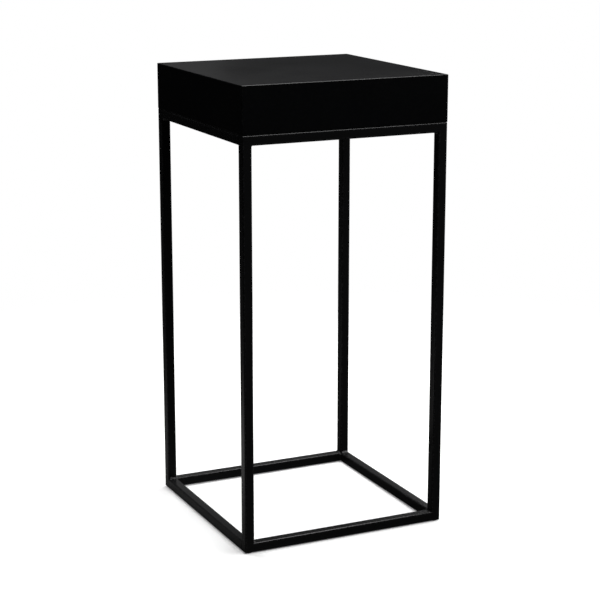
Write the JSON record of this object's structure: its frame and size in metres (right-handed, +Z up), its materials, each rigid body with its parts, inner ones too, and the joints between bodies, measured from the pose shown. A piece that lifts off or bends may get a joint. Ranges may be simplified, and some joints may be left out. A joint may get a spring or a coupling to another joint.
{
  "type": "display plinth",
  "caption": "Tall square display plinth: a thick black lacquered box top, flush with an open black square-tube steel frame that stands on a floor ring.",
  "frame": {"origin": "on the floor, at the centre of the square footprint", "axes": "+Z up; the front faces -Y and the left side is at -X; the plinth is alike on all four sides"},
  "size_m": [0.333, 0.333, 0.7],
  "materials": {
    "powder_coated_steel": "fine satin black powder coat",
    "lacquered_board": "satin black lacquer on fibreboard",
    "raw_softwood": "planed, unfinished",
    "zinc_plated_steel": "bright zinc plate",
    "zinc_alloy": "die-cast, bare",
    "black_felt": "dense needle felt"
  },
  "bodies": {
    "root": {"bottom_corner_welds_back_left": "powder_coated_steel", "bottom_corner_welds_back_right": "powder_coated_steel", "bottom_corner_welds_front_left": "powder_coated_steel", "bottom_corner_welds_front_right": "powder_coated_steel", "bottom_rail_back": "powder_coated_steel", "bottom_rail_front": "powder_coated_steel", "bottom_rail_left": "powder_coated_steel", "bottom_rail_right": "powder_coated_steel", "box_base_panel": "lacquered_board", "box_side_panel_back": "lacquered_board", "box_side_panel_front": "lacquered_board", "box_side_panel_left": "lacquered_board", "box_side_panel_right": "lacquered_board", "box_top_panel": "lacquered_board", "corner_block_back_left": "raw_softwood", "corner_block_back_right": "raw_softwood", "corner_block_front_left": "raw_softwood", "corner_block_front_right": "raw_softwood", "fixing_bolts": "zinc_plated_steel", "fixing_plate_back_left": "powder_coated_steel", "fixing_plate_back_right": "powder_coated_steel", "fixing_plate_front_left": "powder_coated_steel", "fixing_plate_front_right": "powder_coated_steel", "fixing_washers": "zinc_plated_steel", "floor_pad_back_left": "black_felt", "floor_pad_back_right": "black_felt", "floor_pad_front_left": "black_felt", "floor_pad_front_right": "black_felt", "leg_back_left": "powder_coated_steel", "leg_back_right": "powder_coated_steel", "leg_front_left": "powder_coated_steel", "leg_front_right": "powder_coated_steel", "plate_welds": "powder_coated_steel", "threaded_inserts": "zinc_alloy", "top_corner_welds_back_left": "powder_coated_steel", "top_corner_welds_back_right": "powder_coated_steel", "top_corner_welds_front_left": "powder_coated_steel", "top_corner_welds_front_right": "powder_coated_steel", "top_rail_back": "powder_coated_steel", "top_rail_front": "powder_coated_steel", "top_rail_left": "powder_coated_steel", "top_rail_right": "powder_coated_steel", "wood_screws": "zinc_plated_steel"}
  },
  "joints": []
}
